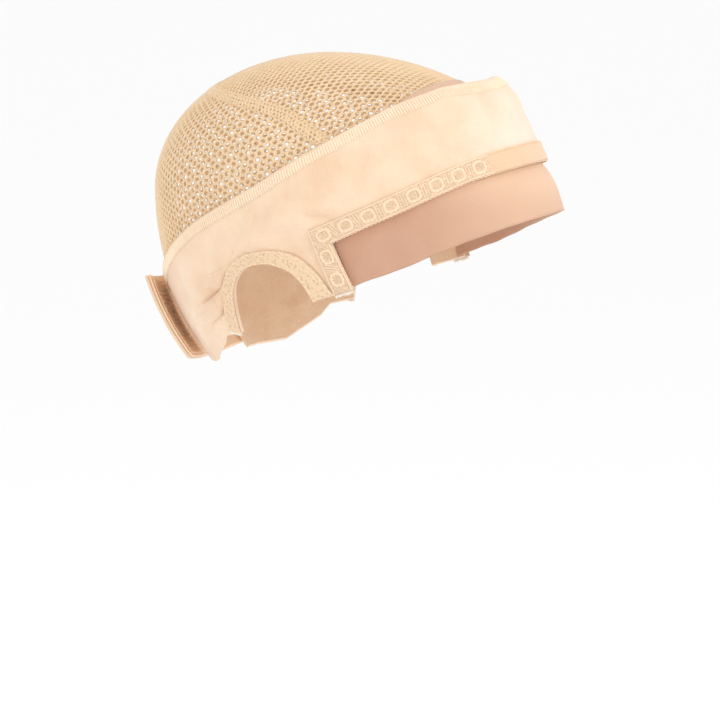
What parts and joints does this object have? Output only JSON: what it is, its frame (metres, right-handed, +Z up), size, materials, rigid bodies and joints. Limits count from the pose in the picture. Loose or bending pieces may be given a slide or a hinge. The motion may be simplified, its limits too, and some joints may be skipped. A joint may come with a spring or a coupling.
{
  "type": "wig grip headband with net crown",
  "caption": "Velvet wig grip headband with an open net crown, sheer front lace, lace trim, ear arches and a hook tape strap at the nape, shaped as worn on a head.",
  "frame": {"origin": "inside of the crown net at the top of the head, on the middle plane", "axes": "+Z up, -Y towards the wearer's face, -X towards the wearer's right ear"},
  "size_m": [0.1607, 0.2015, 0.1497],
  "materials": {
    "net": "open six-sided knit net, matt, beige",
    "seam": "narrow tape, matt, beige",
    "sheer_lace": "sheer fine tulle, pale skin tone",
    "velvet": "short plush pile, soft sheen, pale beige",
    "lace_trim": "knit lace with raised rosettes, beige",
    "strap": "folded velvet, matt, beige",
    "hook": "hook side of touch tape, tan"
  },
  "bodies": {
    "root": {"crown_net_top": "net", "crown_net_back": "net", "crown_seam": "seam", "front_lace": "sheer_lace", "velvet_band": "velvet", "front_trim": "lace_trim", "ear_lace_right": "lace_trim", "ear_lace_left": "lace_trim", "nape_strap": "strap", "hook_tape": "hook"}
  },
  "joints": []
}
